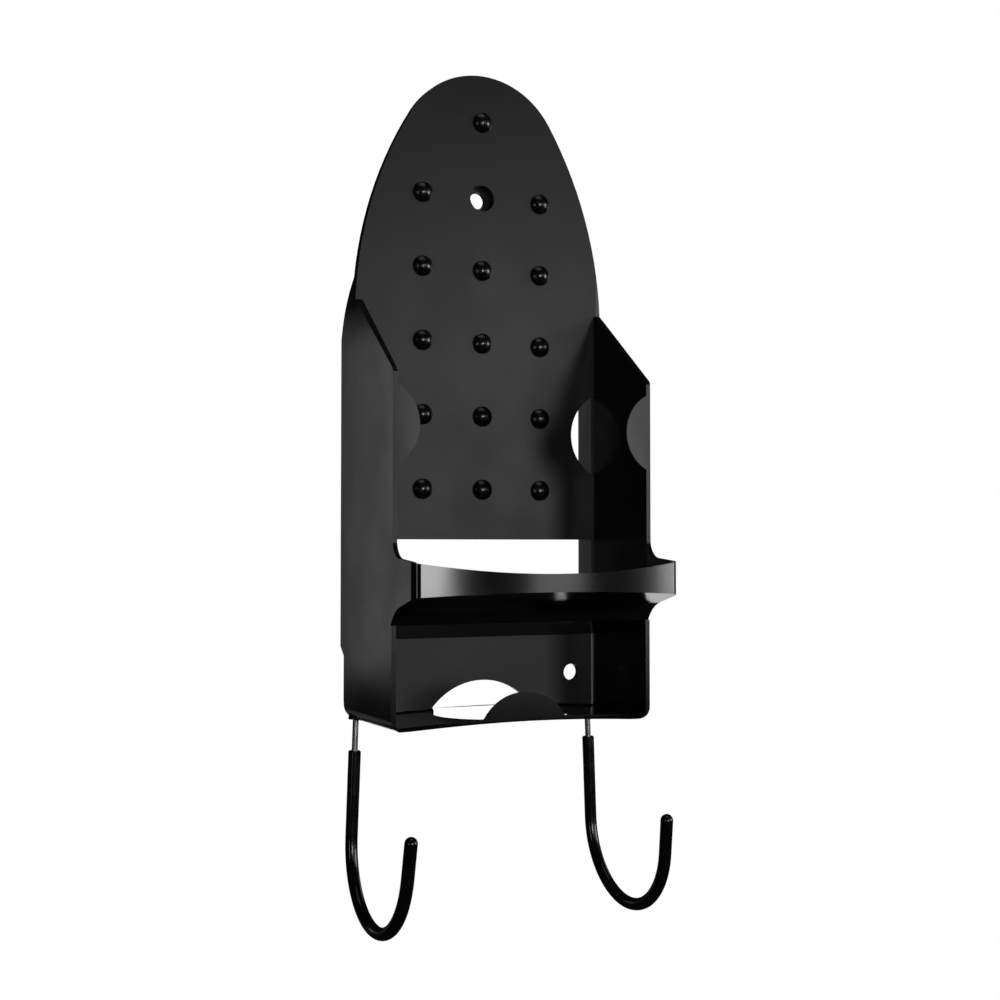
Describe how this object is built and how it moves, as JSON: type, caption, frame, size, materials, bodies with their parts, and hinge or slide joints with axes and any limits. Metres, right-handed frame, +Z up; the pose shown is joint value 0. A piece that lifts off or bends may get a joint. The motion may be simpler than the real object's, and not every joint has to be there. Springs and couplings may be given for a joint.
{
  "type": "wall-mounted iron and ironing board holder",
  "caption": "Wall holder for a clothes iron: soleplate-shaped heat-stud plate over a shelf and strap, with swivelling coated hooks below for an ironing board.",
  "frame": {"origin": "axis of the top wall screw's hole, at the face its head bears on", "axes": "-Y towards the room, +Y towards the wall, +Z up, +X to the right seen from the room"},
  "size_m": [0.1452, 0.1068, 0.4324],
  "materials": {
    "housing_plastic": "fine satin moulded black",
    "heat_stud": "glossy heat-resistant black",
    "steel_wire": "drawn wire",
    "vinyl_sleeve": "glossy dipped vinyl"
  },
  "bodies": {
    "frame": {"housing": "housing_plastic", "heat_stud_row1_centre": "heat_stud", "heat_stud_row2_left": "heat_stud", "heat_stud_row2_right": "heat_stud", "heat_stud_row3_left": "heat_stud", "heat_stud_row3_centre": "heat_stud", "heat_stud_row3_right": "heat_stud", "heat_stud_row4_left": "heat_stud", "heat_stud_row4_centre": "heat_stud", "heat_stud_row4_right": "heat_stud", "heat_stud_row5_left": "heat_stud", "heat_stud_row5_centre": "heat_stud", "heat_stud_row5_right": "heat_stud", "heat_stud_row6_left": "heat_stud", "heat_stud_row6_centre": "heat_stud", "heat_stud_row6_right": "heat_stud"},
    "left_hook": {"hook_wire_left": "steel_wire", "hook_sleeve_left": "vinyl_sleeve"},
    "right_hook": {"hook_wire_right": "steel_wire", "hook_sleeve_right": "vinyl_sleeve"}
  },
  "joints": [
    {"name": "left_hook_swing", "type": "hinge", "parent": "frame", "child": "left_hook", "pos_m": [-0.0661, 0.0016, -0.268], "axis": [0.0349, 0, 0.9994], "range_deg": [-40, 40]},
    {"name": "right_hook_swing", "type": "hinge", "parent": "frame", "child": "right_hook", "pos_m": [0.0661, 0.0016, -0.268], "axis": [-0.0349, 0, 0.9994], "range_deg": [-40, 40]}
  ]
}
